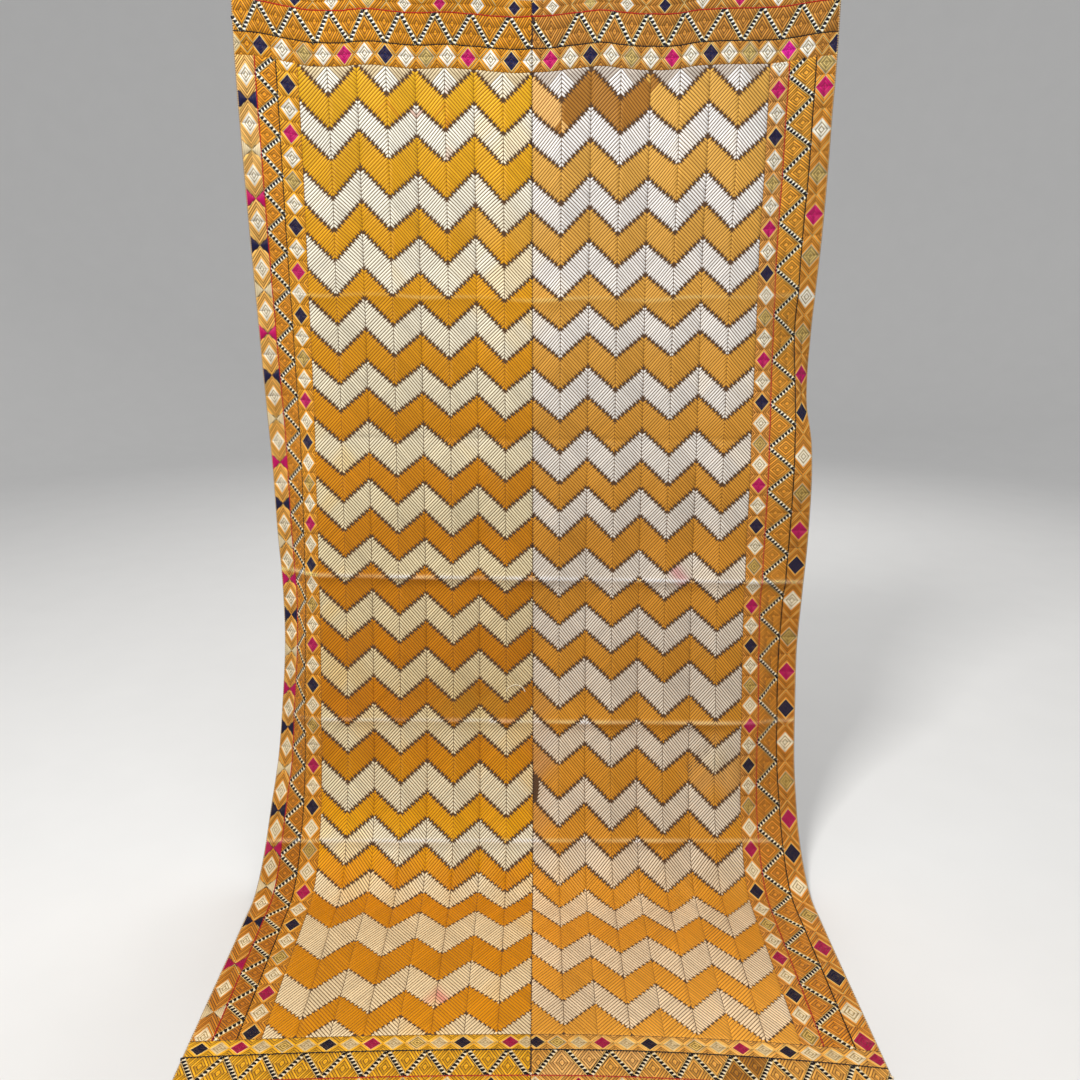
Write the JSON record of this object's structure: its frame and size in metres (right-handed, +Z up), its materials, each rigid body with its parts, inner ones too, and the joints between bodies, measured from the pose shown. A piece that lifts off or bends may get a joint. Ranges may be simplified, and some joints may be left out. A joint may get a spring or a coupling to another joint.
{
  "type": "phulkari shawl clipped to a rod",
  "caption": "Embroidered two-width phulkari shawl clipped by its top edge to a thin rod, hanging in one long fall with its lower end laid forward on the floor.",
  "frame": {"origin": "the middle of the rod, where the whole is held up", "axes": "+Z up, -Y towards the viewer of the embroidered face, +X to the right as seen"},
  "size_m": [1.3612, 0.9095, 1.9827],
  "materials": {
    "left_cloth": "handspun brown cotton almost covered in gold and cream silk floss",
    "right_cloth": "handspun brown cotton almost covered in dull gold and grey-white silk floss",
    "rod_paint": "satin black paint",
    "clip_steel": "black-coated spring steel"
  },
  "bodies": {
    "root": {"panel_left": "left_cloth", "panel_right": "right_cloth", "rod": "rod_paint", "clip_1": "clip_steel", "clip_2": "clip_steel", "clip_3": "clip_steel", "clip_4": "clip_steel", "clip_5": "clip_steel", "clip_6": "clip_steel"}
  },
  "joints": []
}
